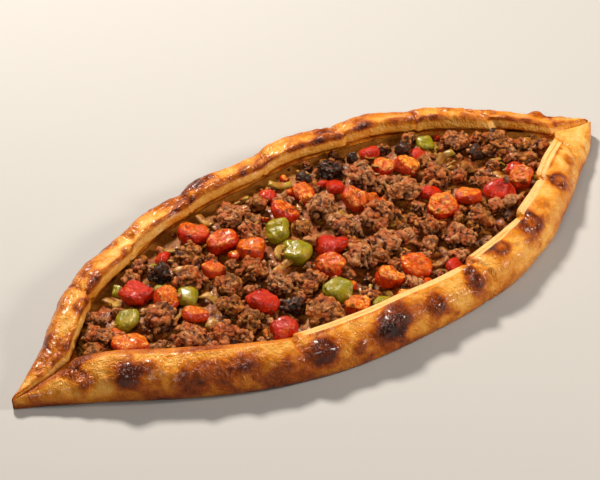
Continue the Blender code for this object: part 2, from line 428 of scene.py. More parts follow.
class Form:
    """A modelled shape kept as corners, triangles and painted values, to be copied from."""

    def __init__(self, corners, triangles, paint):
        self.corners = corners
        self.triangles = triangles
        self.paint = paint

    def normals(self):
        a, b, c = (self.corners[self.triangles[:, k]] for k in range(3))
        face = np.cross(b - a, c - a)
        total = np.zeros_like(self.corners)
        for k in range(3):
            np.add.at(total, self.triangles[:, k], face)
        return total / np.maximum(np.linalg.norm(total, axis=1, keepdims=True), 1e-12)

    def hollows(self, rounds=4):
        """How deep each corner lies below its surroundings: above 0 in a crease, below 0 on a crest."""
        pairs = np.concatenate([self.triangles[:, ends] for ends in ([0, 1], [1, 2], [2, 0])])
        count = np.bincount(pairs.ravel(), minlength=len(self.corners))[:, None]
        smooth = self.corners.copy()
        for _ in range(rounds):
            total = np.zeros_like(smooth)
            np.add.at(total, pairs[:, 0], smooth[pairs[:, 1]])
            np.add.at(total, pairs[:, 1], smooth[pairs[:, 0]])
            smooth = total / np.maximum(count, 1)
        depth = np.einsum("ij,ij->i", smooth - self.corners, self.normals())
        return depth / max(np.percentile(np.abs(depth), 95), 1e-9)


def taken(piece):
    """Takes a modelled object's shape into a Form and removes the object."""
    mesh = piece.data
    mesh.calc_loop_triangles()
    triangles = np.empty(len(mesh.loop_triangles) * 3, int)
    mesh.loop_triangles.foreach_get("vertices", triangles)
    form = Form(corners_of(mesh), triangles.reshape(-1, 3), {})
    bpy.data.objects.remove(piece)
    bpy.data.meshes.remove(mesh)
    return form


def built(name, forms, material, replaced=()):
    """Makes one object from placed copies of forms, smooth, on its body and in its material slot."""
    corners, triangles, paint, offset = [], [], {}, 0
    for form in forms:
        corners.append(form.corners)
        triangles.append(form.triangles + offset)
        offset += len(form.corners)
    for key in set.intersection(*(set(form.paint) for form in forms)):
        paint[key] = [form.paint[key] for form in forms]
    mesh = bpy.data.meshes.new(name)
    corners = np.concatenate(corners)
    triangles = np.concatenate(triangles)
    mesh.vertices.add(len(corners))
    mesh.vertices.foreach_set("co", corners.ravel())
    mesh.loops.add(triangles.size)
    mesh.loops.foreach_set("vertex_index", triangles.ravel())
    mesh.polygons.add(len(triangles))
    mesh.polygons.foreach_set("loop_start", np.arange(0, triangles.size, 3))
    mesh.update(calc_edges=True)
    for key, values in paint.items():
        layer = mesh.attributes.new(key, "FLOAT", "POINT")
        layer.data.foreach_set("value", np.concatenate(values).astype(np.float32))
    mesh.shade_smooth()
    mesh.materials.append(material)
    piece = bpy.data.objects.new(name, mesh)
    bpy.context.scene.collection.objects.link(piece)
    settle(piece, replaced)


def settle(piece, replaced=()):
    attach(piece, BODY)
    if replaced:
        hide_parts(*replaced)


def bent_grid(name, corners, paint):
    """A closed, smooth piece from a grid bent to corners (station, step, xyz), with painted values."""
    start()
    stations, steps = corners.shape[:2]
    bpy.ops.mesh.primitive_grid_add(x_subdivisions=stations - 1, y_subdivisions=steps - 1, size=1.0)
    piece = bpy.context.object
    piece.name = piece.data.name = name
    # the grid's own corners run along x first
    place_corners(piece.data, corners.transpose(1, 0, 2).reshape(-1, 3))
    for key, values in paint.items():
        layer = piece.data.attributes.new(key, "FLOAT", "POINT")
        layer.data.foreach_set("value", values.T.ravel().astype(np.float32))
    # weld the seam, close the two ends and turn the faces outwards
    bpy.ops.object.mode_set(mode="EDIT")
    bpy.ops.mesh.select_all(action="SELECT")
    bpy.ops.mesh.remove_doubles(threshold=WELD)
    bpy.ops.mesh.select_all(action="DESELECT")
    bpy.ops.mesh.select_non_manifold(extend=False)
    bpy.ops.mesh.edge_face_add()
    bpy.ops.mesh.select_all(action="SELECT")
    bpy.ops.mesh.normals_make_consistent(inside=False)
    if bmesh.from_edit_mesh(piece.data).calc_volume(signed=True) < 0:
        bpy.ops.mesh.flip_normals()
    bpy.ops.object.mode_set(mode="OBJECT")
    piece.data.shade_smooth()
    return piece


def turned(form, angle, tilt=(0.0, 0.0)):
    """A copy of a form, tilted a little and turned about the upright."""
    cx, sx, cy, sy = math.cos(tilt[0]), math.sin(tilt[0]), math.cos(tilt[1]), math.sin(tilt[1])
    cz, sz = math.cos(angle), math.sin(angle)
    lean = np.array(((1, 0, 0), (0, cx, -sx), (0, sx, cx))) @ np.array(((cy, 0, sy), (0, 1, 0), (-sy, 0, cy)))
    spin = np.array(((cz, -sz, 0), (sz, cz, 0), (0, 0, 1)))
    return Form(form.corners @ (spin @ lean).T, form.triangles, dict(form.paint))


def fitted(form, low, high):
    """A copy of a form stretched to fill the box between two corners."""
    least, most = form.corners.min(0), form.corners.max(0)
    share = (form.corners - least) / (most - least)
    return Form(low + share * (high - low), form.triangles, dict(form.paint))


def moved(form, size, place):
    return Form(form.corners * size + np.asarray(place), form.triangles, dict(form.paint))


def direction(dice):
    """A random direction, one long."""
    way = dice.normal(size=3)
    return way / np.linalg.norm(way)


def thinned(piece, faces):
    """Brings a piece down to about that many triangles, for shapes that are repeated often."""
    apply(piece, "thinned", "DECIMATE", ratio=min(0.5 * faces / len(piece.data.polygons), 1.0))


def craggy_chunk(dice, blocks, grains, voxel, crag=0.10, faces=None):
    """Chopped browned meat: blocks and grains fused into one craggy piece, about 1 in radius."""
    start()
    bpy.ops.mesh.primitive_cube_add(size=1.05, rotation=tuple(dice.uniform(0, 3, 3)))
    chunk = bpy.context.object
    bpy.ops.object.mode_set(mode="EDIT")
    for _ in range(blocks):
        way = direction(dice) * dice.uniform(0.25, 0.55)
        bpy.ops.mesh.primitive_cube_add(
            size=dice.uniform(0.65, 1.05), location=tuple(way), rotation=tuple(dice.uniform(0, 3, 3)),
            scale=tuple(dice.uniform(0.7, 1.3, 3)),
        )
    for _ in range(grains):
        way = direction(dice) * (1.0, 1.0, 0.85)
        size = dice.uniform(0.14, 0.32)
        bpy.ops.mesh.primitive_ico_sphere_add(
            subdivisions=1, radius=size, location=tuple(way * dice.uniform(0.60, 0.80)),
            rotation=tuple(dice.uniform(0, 3, 3)), scale=tuple(dice.uniform(0.6, 1.5, 3)),
        )
    bpy.ops.object.mode_set(mode="OBJECT")
    apply(chunk, "fused", "REMESH", mode="VOXEL", voxel_size=voxel)
    apply(chunk, "softened", "SMOOTH", factor=0.5, iterations=1)
    if faces:
        thinned(chunk, faces)
    form = taken(chunk)
    offset = dice.uniform(0, 20, 3)
    here = form.corners + offset
    form.corners = form.corners * (1.0 + 0.14 * unevenness(here, 0.9, 3)[:, None])
    crags, small = (np.abs(unevenness(here, size, seed)) * 2.0 - 0.6 for size, seed in ((0.50, 5), (0.22, 6)))
    crags = crags + 0.7 * small
    form.corners = form.corners + form.normals() * (crag * crags)[:, None]
    # crease paint: painted shade in the hollows, and painted light where the crags stand out
    form.paint["crease"] = np.clip(0.55 * form.hollows() - 0.55 * crags, -SHARPEST, SHARPEST)
    form.paint["tone"] = np.full(len(form.corners), dice.uniform())
    return form


def soft_dice(dice, flat, bevel, wrinkle, sag, cut_top=True, faces=None):
    """A diced vegetable gone soft in the oven, about 1 in half width; its top is cut flesh or skin."""
    start()
    bpy.ops.mesh.primitive_cube_add(size=2.0, scale=(1.0, dice.uniform(0.78, 1.0), flat))
    cube = bpy.context.object
    bpy.ops.object.mode_set(mode="EDIT")
    bpy.ops.mesh.select_all(action="SELECT")
    bpy.ops.mesh.bevel(offset=bevel, segments=2, profile=0.6, affect="EDGES")
    bpy.ops.mesh.subdivide(number_cuts=2, smoothness=0.6)
    bpy.ops.object.mode_set(mode="OBJECT")
    apply(cube, "rounded", "SUBSURF", levels=1, render_levels=1)
    corners = corners_of(cube.data)
    offset = dice.uniform(0, 20, 3)
    squat = corners / (1.0, 1.0, flat)
    ball = corners / np.linalg.norm(squat, axis=1, keepdims=True) * 1.08
    corners = mix(corners, ball, dice.uniform(0.30, 0.75))
    reach = np.hypot(corners[:, 0], corners[:, 1])
    corners[:, 2] -= np.where(corners[:, 2] > 0, sag * np.clip(1.0 - reach, 0.0, 1.0), 0.0)
    corners *= (1.0 + 0.20 * unevenness(corners + offset, 1.1, 7))[:, None]
    lean = dice.uniform(-0.25, 0.25, 2)
    corners[:, 0] += lean[0] * corners[:, 2]
    corners[:, 1] += lean[1] * corners[:, 2]
    place_corners(cube.data, corners)
    apply(cube, "even", "REMESH", mode="VOXEL", voxel_size=0.085)
    apply(cube, "softened", "SMOOTH", factor=0.5, iterations=16)
    if faces:
        thinned(cube, faces)
    form = taken(cube)
    normals = form.normals()
    here = form.corners + offset
    form.corners = form.corners + normals * (0.14 * unevenness(here, 0.75, 15))[:, None]
    rough = wrinkle * (unevenness(here, 0.45, 8) + 0.6 * np.abs(unevenness(here, 0.22, 9)))
    top = smoothstep(0.35, 0.70, normals[:, 2])
    rough = rough - (0.11 * top * np.abs(unevenness(here, 0.26, 11)) if cut_top else 0.0)
    form.corners = form.corners + normals * rough[:, None]
    rim = 1.0 - top * (1.0 if cut_top else 0.12)
    form.paint["skin"] = np.clip(rim + 0.35 * unevenness(here, 0.5, 10), 0, 1)
    # crease paint: painted shade in the hollows
    form.paint["crease"] = np.clip(form.hollows(), -SHARPEST, SHARPEST)
    form.paint["tone"] = np.full(len(form.corners), dice.uniform())
    return form


def strip_bit(dice, bend, faces=90):
    """A short bent strip of onion or charred skin, about 1 in half length."""
    start()
    bpy.ops.mesh.primitive_cube_add(size=2.0, scale=(1.0, 0.36, 0.22))
    strip = bpy.context.object
    bpy.ops.object.mode_set(mode="EDIT")
    bpy.ops.mesh.select_all(action="SELECT")
    bpy.ops.mesh.subdivide(number_cuts=3)
    bpy.ops.object.mode_set(mode="OBJECT")
    apply(strip, "rounded", "SUBSURF", levels=1, render_levels=1)
    corners = corners_of(strip.data)
    offset = dice.uniform(0, 20, 3)
    corners[:, 1] += bend * (corners[:, 0] ** 2 - 0.3)
    corners[:, 2] += 0.25 * np.sin(corners[:, 0] * 2.0 + offset[0])
    corners += 0.10 * np.stack([unevenness(corners + offset + k, 0.6, 12) for k in (0, 5, 9)], 1)
    place_corners(strip.data, corners)
    thinned(strip, faces)
    form = taken(strip)
    # crease paint: painted shade in the hollows
    form.paint["crease"] = np.clip(form.hollows(2), -SHARPEST, SHARPEST)
    form.paint["tone"] = np.full(len(form.corners), dice.uniform())
    return form


def grain_bit(dice, subdivisions=2):
    """One small grain or crumb, about 1 in radius."""
    start()
    bpy.ops.mesh.primitive_ico_sphere_add(subdivisions=subdivisions, radius=1.0)
    form = taken(bpy.context.object)
    offset = dice.uniform(0, 20, 3)
    form.corners = form.corners * (1.0 + 0.35 * unevenness(form.corners + offset, 0.9, 13)[:, None])
    form.corners = form.corners * dice.uniform(0.7, 1.2, 3)
    # crease paint: painted shade in the hollows
    form.paint["crease"] = np.clip(form.hollows(1), -SHARPEST, SHARPEST)
    form.paint["tone"] = np.full(len(form.corners), dice.uniform())
    return form


# ---------------------------------------------------------------------------------------------
# Sizes and colours that a user would change


def colour_setting(name, description, default):
    return FloatVectorProperty(name=name, description=description, default=default, subtype="COLOR")


def length_setting(name, description, default):
    return FloatProperty(name=name, description=description, default=default, unit="LENGTH")


def count_setting(name, description, default, least=0):
    return IntProperty(name=name, description=description, default=default, min=least)


class CrustSettings(bpy.types.PropertyGroup):
    stations: count_setting("Stations", "Cross-sections along the bread", 640, 120)
    blister_height: FloatProperty(
        name="Blister height", description="Height of a blister as a share of its radius", default=0.32,
        subtype="FACTOR",
    )
    wave: length_setting("Waviness", "Height of the slow unevenness of the dough", 0.0009)
    wrinkle: length_setting("Wrinkles", "Depth of the fine wrinkles on the glazed crown", 0.00048)
    pleat_depth: length_setting("Pleat depth", "Depth of the crease where a flap laps over the next", 0.0016)
    pale: colour_setting("Pale dough", "Least baked", (0.84, 0.545, 0.190))
    straw: colour_setting("Straw", "Lightly baked", (0.75, 0.355, 0.060))
    gold: colour_setting("Gold", "Well baked", (0.60, 0.195, 0.012))
    amber: colour_setting("Amber", "Browned", (0.33, 0.062, 0.003))
    brown: colour_setting("Brown", "Dark brown", (0.100, 0.014, 0.002))
    scorch: colour_setting("Scorch", "Darkest", (0.022, 0.005, 0.002))
    crumb: colour_setting("Cut dough", "Bare cut edge of the flaps", (0.80, 0.49, 0.175))


class FillingSettings(bpy.types.PropertyGroup):
    columns: count_setting("Columns", "Grid columns of the filling's surface", 330, 60)
    rows: count_setting("Rows", "Grid rows of the filling's surface", 130, 20)
    lumps: length_setting("Lumps", "Height of the filling's lumps", 0.0019)
    crumbs: count_setting("Meat crumbs", "How many small crumbs of meat are tried", 360)
    herbs: count_setting("Herb flecks", "How many herb and pepper flecks are tried", 300)
    juice: colour_setting("Juice", "Oniony juice between the pieces", (0.28, 0.080, 0.010))
    greasy_dough: colour_setting("Soaked dough", "Dough that shows along the far rim", (0.34, 0.12, 0.014))
    onion: colour_setting("Onion", "Cooked onion", (0.46, 0.20, 0.034))


class ToppingSettings(bpy.types.PropertyGroup):
    meat: colour_setting("Meat", "Browned meat", (0.185, 0.038, 0.004))
    # the light meat is paler grains and, on crests, a painted lit colour; the dark meat is seared meat and
    # also painted shade in creases
    meat_pale_and_lit: colour_setting("Light meat", "Meat on crests", (0.58, 0.200, 0.050))
    meat_dark: colour_setting("Dark meat", "Meat in creases", (0.040, 0.009, 0.002))
    red: colour_setting("Red tomato", "Tomato skin", (0.50, 0.018, 0.001))
    orange: colour_setting("Orange tomato", "Tomato flesh", (0.60, 0.098, 0.002))
    green: colour_setting("Pepper", "Cooked green pepper", (0.20, 0.185, 0.004))
    charred: colour_setting("Charred", "Charred bits", (0.024, 0.010, 0.004))


class StageSettings(bpy.types.PropertyGroup):
    floor: colour_setting("Floor", "Floor colour", (0.42, 0.415, 0.405))
    key_power: FloatProperty(name="Key light", description="Power of the key light in W", default=21.5)
    side_power: FloatProperty(name="Side light", description="Power of the side light in W", default=8.0)
    fill_power: FloatProperty(name="Fill light", description="Power of the fill light in W", default=3.3)
    sky: FloatProperty(name="Sky", description="Strength of the even light from all round", default=0.06)
    azimuth: FloatProperty(
        name="Camera azimuth", description="Direction of the camera", default=math.radians(-36.9),
        subtype="ANGLE",
    )
    elevation: FloatProperty(
        name="Camera elevation", description="Camera above the horizon", default=math.radians(39.7),
        subtype="ANGLE",
    )
    distance: length_setting("Camera distance", "From the origin", 1.137)
    lens: FloatProperty(name="Lens", description="Focal length in mm on a 36 mm wide sensor", default=135.5)


# ---------------------------------------------------------------------------------------------
# Crust


def crust_material(settings):
    finish = Finish("glazed baked crust")
    bake = finish.painted("bake")
    bare = finish.painted("bare")
    clouds = finish.noise(0.009, 4.0, 0.6, distortion=0.6)
    grain = finish.noise(0.0024, 4.0, 0.65)
    speck = finish.noise(0.0009, 2.0, 0.6)
    tone = (bake + (clouds - 0.5) * 0.62 + (grain - 0.5) * 0.14 + (speck - 0.5) * 0.05).clamped()
    baked = finish.ramp(tone, (
        (0.0, settings.pale), (0.24, settings.straw), (0.44, settings.gold), (0.64, settings.amber),
        (0.82, settings.brown), (0.98, settings.scorch),
    ))
    layers = finish.noise(0.0016, 3.0, 0.6, stretch=(0.25, 0.25, 2.2))
    crumb = finish.mixed((layers - 0.38) * 1.6, settings.crumb, tint(settings.crumb, settings.gold, 0.7))
    edge = (bare + (grain - 0.5) * 0.5).over(0.35, 0.65)
    shine = finish.painted("glaze")
    glaze = (shine + (clouds - 0.5) * 0.5).clamped() * (1 - edge * 0.7)
    crinkle = finish.noise(0.0042, 3.0, 0.6, distortion=0.4)
    folds = (crinkle - 0.5).magnitude().over(0.0, 0.15)
    under = finish.bump(folds, 0.0008, 0.55)
    under = finish.bump(grain, 0.0006, 0.40, under)
    skin = finish.bump(speck + clouds * 0.4, 0.0004, 0.30, under)
    return finish.done(
        Base_Color=finish.mixed(edge, baked, crumb), Roughness=0.44 - glaze * 0.24, Normal=skin,
        Coat_Weight=glaze * 0.22 + (shine - 1.0).clamped(), Coat_Roughness=0.12, Coat_IOR=1.40,
        Specular_IOR_Level=0.18,
    )


def rim_sections(side, x, fine):
    """Corners (station, step, xyz) of one side's plain rim, and each step's place along the profile."""
    profile = np.array(PROFILE[side]) / 1000.0
    place = np.interp(np.linspace(0, 1, fine), *profile_paces(profile))
    inward, rise = along_profile(profile, place).T
    last = smoothstep(14.0, 15.0, place)
    puffed = swell(side, x)
    lap = blurred((flap_share(side, x) - 0.5) * 2.0, 2) * (1.0 - tip_fall(x))
    outline = half_width(side, x) + SWELL_OUT * puffed
    cosine = outline_cosine(side, x)
    squeeze = np.minimum(1.0, (outline * cosine - SEAM_GAP) / LIP)
    over = smoothstep(0.008, 0.018, inward) * smoothstep(0.008, 0.014, rise)
    lap_reach = {NEAR: -0.0013, FAR: 0.0011}[side]
    reach = inward * squeeze[:, None] + (0.0012 * puffed + lap_reach * lap)[:, None] * over
    y = outline[:, None] - reach / cosine[:, None]
    z = rise * rim_share(x)[:, None] + SWELL_UP * puffed[:, None] * smoothstep(0.006, 0.016, rise)
    wall = inner_wall(side, x)[:, None]
    shelf = mix(SEAM_HEIGHT * rim_share(x), profile[-1, 1], gape(side, x))[:, None]
    y = mix(y, wall, last)
    z = mix(z, shelf, last)
    return np.stack([np.broadcast_to(x[:, None], y.shape), y * side, z], -1), place


def profile_paces(profile):
    """Shares of the profile's length against its indexes."""
    paces = np.concatenate([[0.0], np.cumsum(np.linalg.norm(np.diff(profile, axis=0), axis=1))])
    return paces / paces[-1], np.arange(len(profile))


def grid_normals(corners):
    along = np.gradient(corners, axis=0)
    across = np.gradient(corners, axis=1)
    normal = np.cross(along, across)
    return normal / np.maximum(np.linalg.norm(normal, axis=-1, keepdims=True), 1e-12)


def shaped_rim(side, x, fine, settings):
    """One side's rim with its relief: corners, and paint for browning, with painted shade at the near foot,
    in the pleat creases and under the lips, bare dough and gloss.
    """
    corners, place = rim_sections(side, x, fine)
    normal = grid_normals(corners) * -side
    place = np.broadcast_to(place, corners.shape[:2])
    show = smoothstep(1.0, 3.0, place) * (1.0 - smoothstep(13.2, 14.2, place))
    show = show * smoothstep(0.002, 0.012, half_width(side, x)[:, None])
    cut_low, cut_high = CUT_EDGE[side]
    ridge = RIDGE[side]

    # creases where one flap is laid over the next, leaning along the bread towards the foot
    crease = np.zeros_like(place)
    for number, pleat in enumerate(PLEATS[side][1:-1]):
        lean = PLEAT_LEANS[number] * 0.001
        line = pleat + lean * (9.0 - place) * (1.0 if side == NEAR else 1.6)
        off = np.abs(x[:, None] - line + 0.0012 * unevenness(corners, 0.006, 19))
        fade = smoothstep(2.5, 6.5, place) * (1.0 - 0.2 * smoothstep(11.0, 13.0, place))
        crease = np.maximum(crease, np.exp(-((off / 0.0013) ** 1.6)) * fade)
    # waves and wrinkles
    wave = unevenness(corners * (0.7, 1.0, 1.0), 0.016, 21 + side)
    wave = wave + 0.55 * unevenness(corners, 0.0075, 24 + side)
    knobs = unevenness(corners, 0.0042, 27 + side)
    glazed = smoothstep(-0.35, 0.25, unevenness(corners, 0.021, 31 + side))
    crown = smoothstep(1.5, 3.5, place) * (1.0 - smoothstep(cut_low - 1.2, cut_low - 0.2, place))
    ripple = 1.0 - np.abs(unevenness(corners * (0.8, 1.2, 1.2), 0.0036, 41)) * 2.4
    ripple = ripple + 0.5 * (1.0 - np.abs(unevenness(corners, 0.0021, 42)) * 2.4)
    wrinkled = glazed * (smoothstep(0.02, 0.07, x[:, None]) if side == NEAR else smoothstep(4.6, 5.6, place))
    height = (settings.wave * wave + 0.35 * settings.wave * knobs) * show
    height = height * (1.0 - 0.7 * smoothstep(cut_low, cut_low + 0.5, place))
    height = height + settings.wrinkle * ripple * (0.3 + 0.7 * wrinkled) * crown
    height = height - settings.pleat_depth * crease * show * (1.0 - tip_fall(x))[:, None]
    # the cut edges show the dough's layers as fine grooves
    grooves = unevenness(corners * (0.12, 1.0, 1.0), 0.0013, 45)
    height = height + 0.00012 * grooves * smoothstep(cut_low, cut_low + 0.5, place) * show

    # browning: more on the crown's ridge and on the outer wall, less where the flap is pale
    patch = unevenness(corners, 0.024, 51 + side) + 0.8 * unevenness(corners, 0.010, 53 + side)
    patch = patch + 0.45 * unevenness(corners, 0.0048, 54 + side)
    streak = unevenness(corners * (0.25, 1.0, 1.0), 0.007, 55 + side)
    if side == NEAR:
        right = smoothstep(-0.5, 0.6, x[:, None] / (LENGTH / 2))
        # the extra darkening towards the foot is painted shade where the wall meets the floor
        bake = mix(0.53, 0.43, right) + 0.15 * (1.0 - smoothstep(0.5, 2.8, place))
        bake = bake - mix(0.12, 0.13, right) * smoothstep(1.5, 3.5, place)
        bake = bake - 0.15 * smoothstep(4.0, 6.5, place)
        edge = np.exp(-(((place - ridge) / 0.8) ** 2))
        bake = bake + edge * (0.10 + 0.42 * np.clip(streak + 0.1, 0, 1))
    else:
        pale = np.clip(0.75 + 0.6 * unevenness(corners * (0.6, 1.0, 1.0), 0.018, 58), 0.2, 1.3)
        bake = 0.56 - 0.34 * pale * np.exp(-(((place - 6.7) / 1.3) ** 2))
        edge = np.exp(-(((place - ridge) / 0.75) ** 2))
        bake = bake + edge * (0.02 + 0.20 * np.clip(streak + 0.2, 0, 1))
        # darker towards the foot
        bake = bake + 0.10 * (1.0 - smoothstep(1.0, 4.0, place))
    # the crease term is painted shade along the pleat creases
    bake = bake + (0.20 - 0.06 * (side == NEAR)) * patch + 0.20 * crease + 0.05 * knobs
    bake = bake + 0.03 * (ripple - 0.8) * wrinkled
    bake = bake + 0.04 * tip_fall(x)[:, None] * (side == NEAR) * (x[:, None] < 0)
    # blisters: domes, scorched darkest at their middle or, on the far side and near the blunt tip, round it,
    # where the lighter middle is partly paler dough and partly a painted highlight
    dice = np.random.default_rng(60 + side)
    bubbles = [
        (dice.uniform(-160, 160), dice.uniform(2.0, ridge), dice.uniform(0.9, 2.1), dice.uniform(0.1, 0.55))
        for _ in range(70)
    ]
    gloss = np.zeros_like(place)
    for at, up, radius, dark in (*BLISTERS[side], *bubbles):
        station = np.argmin(np.abs(x - at / 1000.0))
        spot = corners[station, np.argmin(np.abs(place[0] - up))]
        ragged = 1.0 + 0.26 * unevenness(corners, 0.006, int(at) % 97)
        ragged = ragged + 0.14 * unevenness(corners, 0.0025, 61)
        off = np.linalg.norm((corners - spot) * (0.85, 1.0, 1.0), axis=-1) / (radius / 1000.0)
        dome = np.clip(1.0 - (off / mix(1.0, ragged, 0.4)) ** 2, 0.0, 1.0) ** 1.5
        off = off / ragged
        height = height + settings.blister_height * radius / 1000.0 * dome * crown * min(1.0, 1.35 * dark)
        gloss = np.maximum(gloss, (0.40 if side == NEAR else 0.25) * dome * dark)
        ringed = 0.20 * (side == NEAR) * smoothstep(50, 65, at) + 0.16 * (side == FAR)
        scorch = (1.0 - smoothstep(0.15, 1.45, off)) * dark
        halo = (1.0 - smoothstep(0.8, 2.3 if side == NEAR else 1.7, off)) * dark
        bake = bake + 0.22 * halo * min(radius / 3.0, 1.0)
        deep = (0.50 if side == NEAR else 0.36) + 0.33 * dark - ringed * (1.0 - smoothstep(0.15, 0.75, off))
        bake = mix(bake, np.maximum(bake * 0.7, deep), np.clip(scorch * 1.5, 0, 1))
    bare_edge = smoothstep(cut_low - 0.25, cut_low + 0.25, place)
    bare_edge = bare_edge * (1.0 - smoothstep(cut_high, cut_high + 0.6, place))
    if side == NEAR:
        # the strip is widest in the middle of each flap and runs out where the next one laps over it
        middle = np.sin(math.pi * flap_share(side, x)) ** 0.5
        wide = np.clip(middle + 0.25 * unevenness(corners[:, 0], 0.02, 71), 0, 1)
        wide = smoothstep(0.15, 0.5, wide)[:, None] * smoothstep(-0.068, -0.045, x)[:, None]
        bare_edge = bare_edge * wide * (1.0 - smoothstep(0.140, 0.155, x))[:, None]
        # a browned line between two layers of dough runs along the cut edge
        off = place - 10.0 - 0.25 * unevenness(corners * (0.3, 1.0, 1.0), 0.01, 73)
        layer = np.exp(-((off / 0.22) ** 2)) * smoothstep(-0.5, 0.1, streak)
        bare_edge = bare_edge * (1.0 - 0.85 * layer)
        height = height - 0.00035 * layer * wide
        # the inner face grows darker below the cut edge
        inside = 0.22 + 0.25 * smoothstep(cut_high, cut_high + 1.5, place) + 0.16 * layer
        inside = mix(0.55 + 0.25 * np.clip(streak, -0.3, 1), inside, np.clip(wide * 1.2, 0, 1))
    else:
        bare_edge = bare_edge * 0.25
        # painted shade: the lip face darkens downward and the lip's underside darker still, with some real
        # grease soaked in there
        inside = 0.25 + 0.12 * smoothstep(10.2, 12.6, place) + 0.14 * patch
        inside = inside + 0.22 * smoothstep(12.6, 13.6, place)
    bake = mix(bake, inside, smoothstep(cut_low - 0.3, cut_low + 0.5, place))
    glaze = np.clip(0.55 + 0.45 * glazed, 0, 1) * crown + 0.35 * (1 - crown)
    glaze = np.maximum(glaze, (1.0 + gloss) * smoothstep(0.0, 0.15, gloss) * crown)
    return corners + normal * height[..., None], bake, bare_edge * show, glaze * smoothstep(1.0, 2.5, place)


RIM_STEPS, BASE_STEPS = 62, 8


def make_crust_shape(settings, name):
    """A grid bent round the bread's cross-sections: both rims, the base and the inner floor."""
    # stations lie closer together towards the tips
    turn = math.pi * (np.linspace(0, 1, settings.stations) - 0.5)
    x = mix(np.sin(turn), turn / (math.pi / 2), 0.72) * (LENGTH / 2 - 0.0001)
    near, near_bake, near_bare, near_glaze = shaped_rim(NEAR, x, RIM_STEPS, settings)
    far, far_bake, far_bare, far_glaze = shaped_rim(FAR, x, RIM_STEPS, settings)
    # a loop runs from the near rim's inner shelf to its foot, along the base, up the far rim and back inside
    share = (np.arange(1, BASE_STEPS) / BASE_STEPS)[None, :, None]
    under = mix(near[:, :1], far[:, :1], share)
    inner = []
    for side, rim in ((NEAR, near), (FAR, far)):
        low = rim[:, -1].copy()
        low[:, 2] = floor_height(side, x)
        inner.append(low[:, None])
    loop = np.concatenate([near[:, ::-1], under, far, inner[1], inner[0]], axis=1)
    plain = np.zeros((len(x), BASE_STEPS - 1))
    browned = plain + 0.40 + 0.16 * unevenness(under, 0.022, 81) + 0.10 * unevenness(under, 0.009, 82)
    inner_floor = np.full((len(x), 2), 0.2)
    paint = {
        "bake": (near_bake, browned, far_bake),
        "bare": (near_bare, plain, far_bare),
        "glaze": (near_glaze, plain, far_glaze),
    }

    # round both tips off in height too, and press down what stands near the solid model's top
    left = np.minimum((LENGTH / 2 - np.abs(loop[..., 0])) / 0.004, 1.0)
    z = loop[..., 2] * mix(0.72, 1.0, np.sqrt(np.clip(1.0 - (1.0 - left) ** 2, 0, 1)))
    z = np.clip(z, 0.0, None)
    proud = MODEL_BOX[1][2] - 0.0010
    loop[..., 2] = np.where(z > proud, mix(proud, z, 0.45), z)
    loop[..., 1] -= MIDDLE

    # each loop ends where it began
    closed = np.concatenate([loop, loop[:, :1]], axis=1)
    layers = {}
    for key, (first, bottom, second) in paint.items():
        values = np.concatenate([first[:, ::-1], bottom, second, inner_floor], axis=1)
        layers[key] = np.concatenate([values, values[:, :1]], axis=1)
    return bent_grid(name, closed, layers)


class PIDE_OT_crust(bpy.types.Operator):
    """Shapes and bakes the crust"""

    bl_idname = "pide.crust"
    bl_label = "Bake crust"
    bl_options = {"REGISTER", "UNDO"}

    def execute(self, context):
        settings = context.scene.pide_crust
        piece = make_crust_shape(settings, "baked_crust")
        piece.data.materials.append(crust_material(settings))
        settle(piece, ["crust"])
        return {"FINISHED"}


# ---------------------------------------------------------------------------------------------
# Filling


BED_TOP = 0.0086
BED_LEFT, BED_RIGHT = (corner[0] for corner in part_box("filling_bed"))
BED_GAP = 0.0004  # between the filling and the dough beside and below it


def opening(x):
    """Y of the near and the far inner wall at x, in the model's frame."""
    return -inner_wall(NEAR, x) - MIDDLE, inner_wall(FAR, x) - MIDDLE


def filling_top(points, settings):
    """Height of the filling's surface at (x, y) points, and how bare the soaked dough is there."""
    x, y = points[..., 0], points[..., 1]
    near, far = opening(x)
    flat = np.stack([x, y, np.zeros_like(x)], -1)
    lumps = 0.6 * unevenness(flat, 0.0065, 91) + 0.4 * unevenness(flat, 0.0032, 92)
    lumps = lumps + 0.22 * unevenness(flat, 0.0015, 93)
    margin = 0.0065 + 0.0035 * unevenness(flat, 0.02, 94)
    bare = 1.0 - smoothstep(0.6 * margin, 1.5 * margin, far - 0.0022 - y)
    ends = smoothstep(0.0, 0.02, np.minimum(x - BED_LEFT, BED_RIGHT - x))
    height = BED_TOP + 0.0004 + settings.lumps * lumps * mix(1.0, 0.35, bare) * mix(0.5, 1.0, ends)
    climb = np.exp(-np.minimum(y - near, far - y) / 0.0025)
    return height - 0.0009 * bare + 0.0007 * climb, bare


